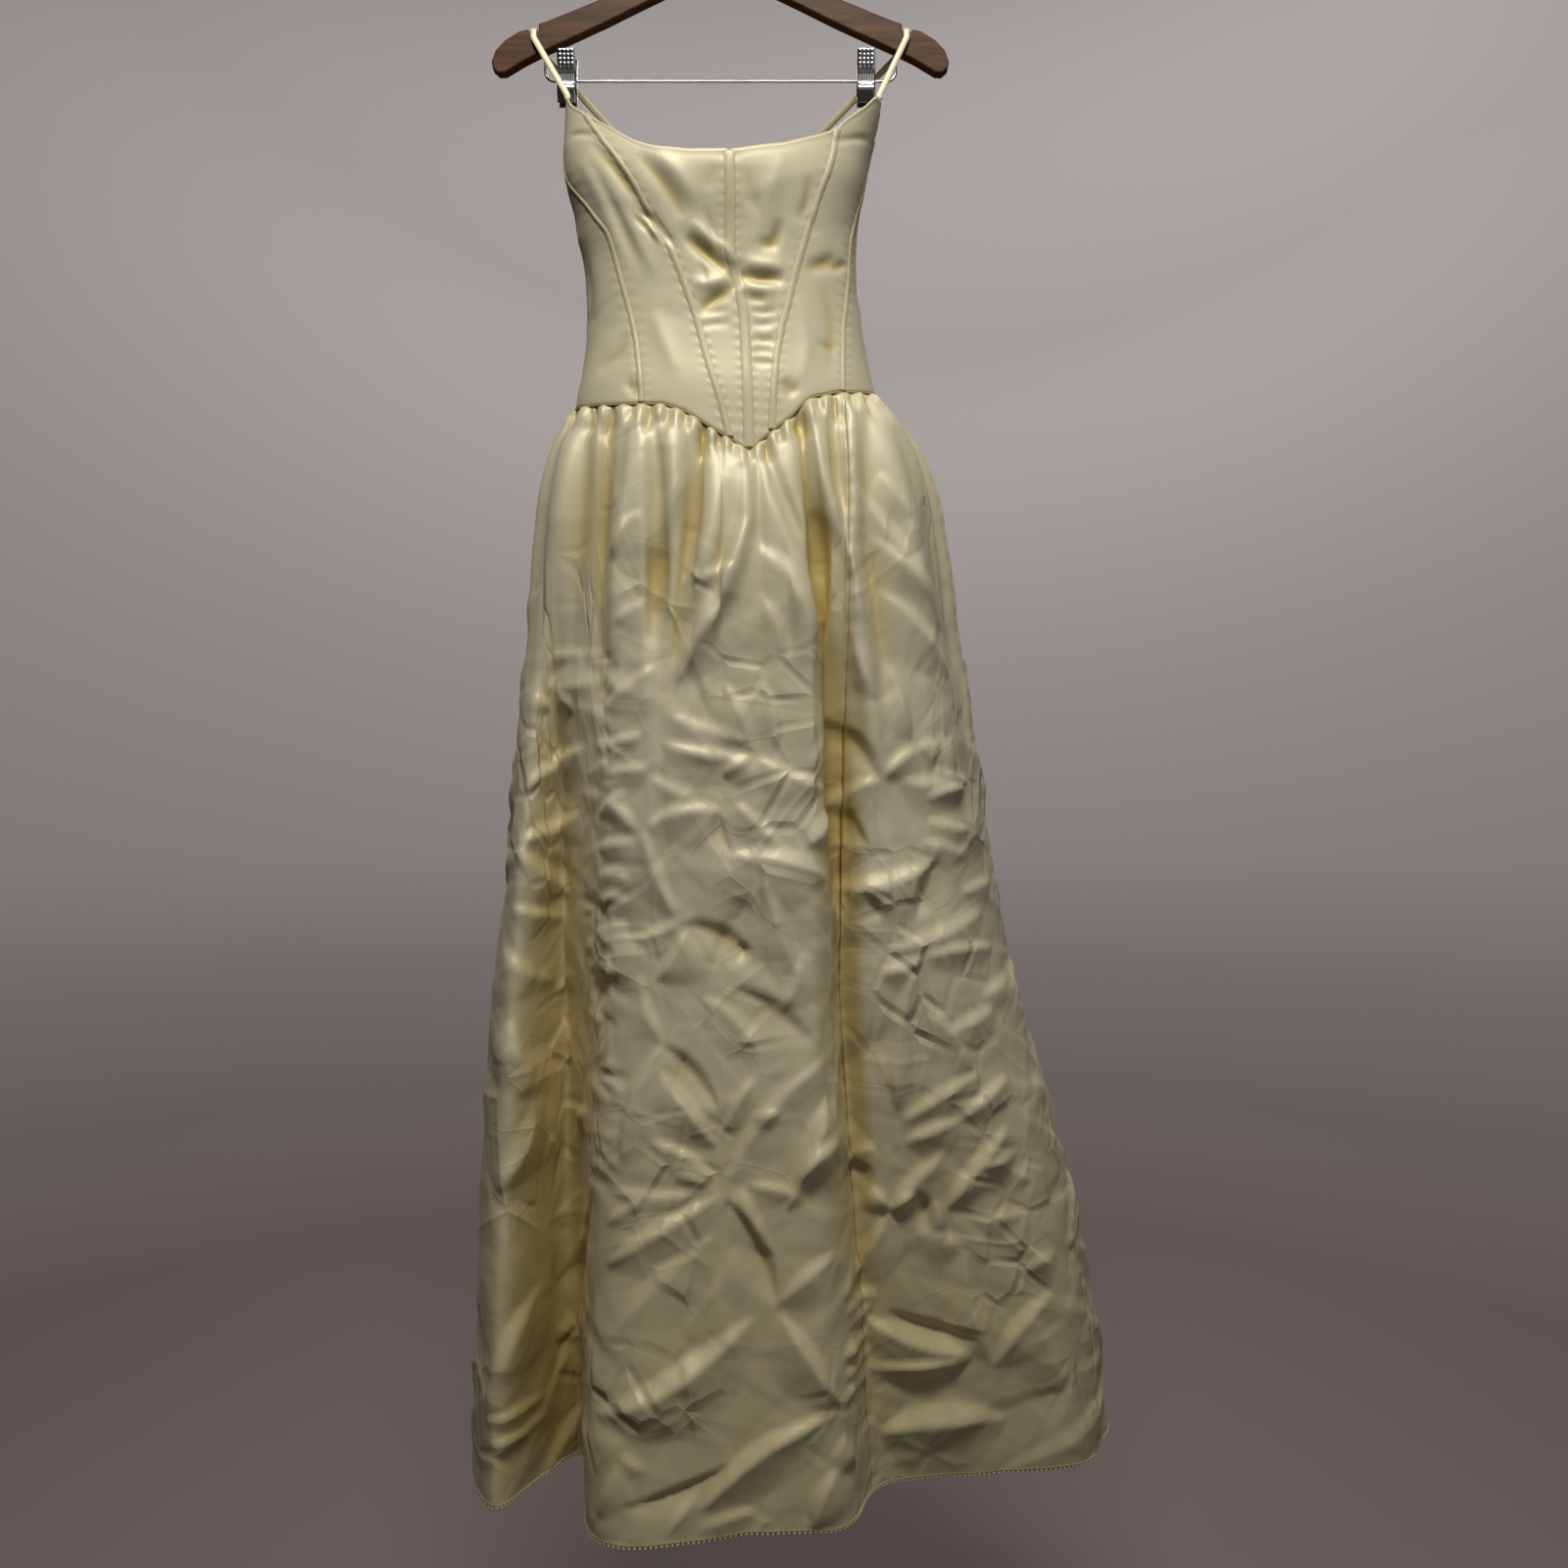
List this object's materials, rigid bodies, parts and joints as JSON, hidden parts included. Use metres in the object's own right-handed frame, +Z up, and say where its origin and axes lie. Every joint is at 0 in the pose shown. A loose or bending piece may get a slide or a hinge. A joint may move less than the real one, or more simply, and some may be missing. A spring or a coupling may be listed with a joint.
{
  "type": "satin corset dress on a clip hanger",
  "caption": "Full-length satin dress with thin straps, a boned corset bodice, a pointed waist seam and a gathered skirt, hung on a wooden hanger with a bar and clips.",
  "frame": {"origin": "top of the inside of the hanger's hook, where the rail bears", "axes": "+Z up, +X to the viewer's right, -Y out of the dress's front"},
  "size_m": [0.6517, 0.2586, 1.5879],
  "materials": {
    "bodice_satin": "pale yellow satin, soft sheen",
    "skirt_satin": "pale yellow satin, creased",
    "channel_satin": "pale yellow satin, stitched",
    "strap_satin": "pale yellow satin, turned tube",
    "zip_tape": "woven tape",
    "zip_metal": "satin enamel",
    "wood": "varnished",
    "chrome": "polished",
    "rubber": "matt"
  },
  "bodies": {
    "dress": {"bodice_back_centre_right": "bodice_satin", "bodice_back_side_right": "bodice_satin", "bodice_side_right": "bodice_satin", "bodice_front_side_right": "bodice_satin", "bodice_front_centre_right": "bodice_satin", "bodice_back_centre_left": "bodice_satin", "bodice_back_side_left": "bodice_satin", "bodice_side_left": "bodice_satin", "bodice_front_side_left": "bodice_satin", "bodice_front_centre_left": "bodice_satin", "bone_front_side_right": "channel_satin", "bone_princess_right": "channel_satin", "bone_centre_front": "channel_satin", "bone_princess_left": "channel_satin", "bone_front_side_left": "channel_satin", "skirt_back_right": "skirt_satin", "skirt_front_right": "skirt_satin", "skirt_front_left": "skirt_satin", "skirt_back_left": "skirt_satin", "strap_right": "strap_satin", "strap_left": "strap_satin", "zip_strip": "zip_tape", "zip_slider": "zip_metal", "zip_bridge": "zip_metal", "hanger_arms": "wood", "hanger_hook": "chrome", "trouser_bar": "chrome", "clip_right_sleeve": "chrome", "clip_right_front": "chrome", "clip_right_pad_front": "rubber", "clip_right_back": "chrome", "clip_right_pad_back": "rubber", "clip_left_sleeve": "chrome", "clip_left_front": "chrome", "clip_left_pad_front": "rubber", "clip_left_back": "chrome", "clip_left_pad_back": "rubber"},
    "pull": {"zip_pull": "zip_metal"}
  },
  "joints": [
    {"name": "pull_tab", "type": "hinge", "parent": "dress", "child": "pull", "pos_m": [-0.00193, 0.07589, -0.2915], "axis": [1, 0, 0], "range_deg": [0, 150]}
  ]
}
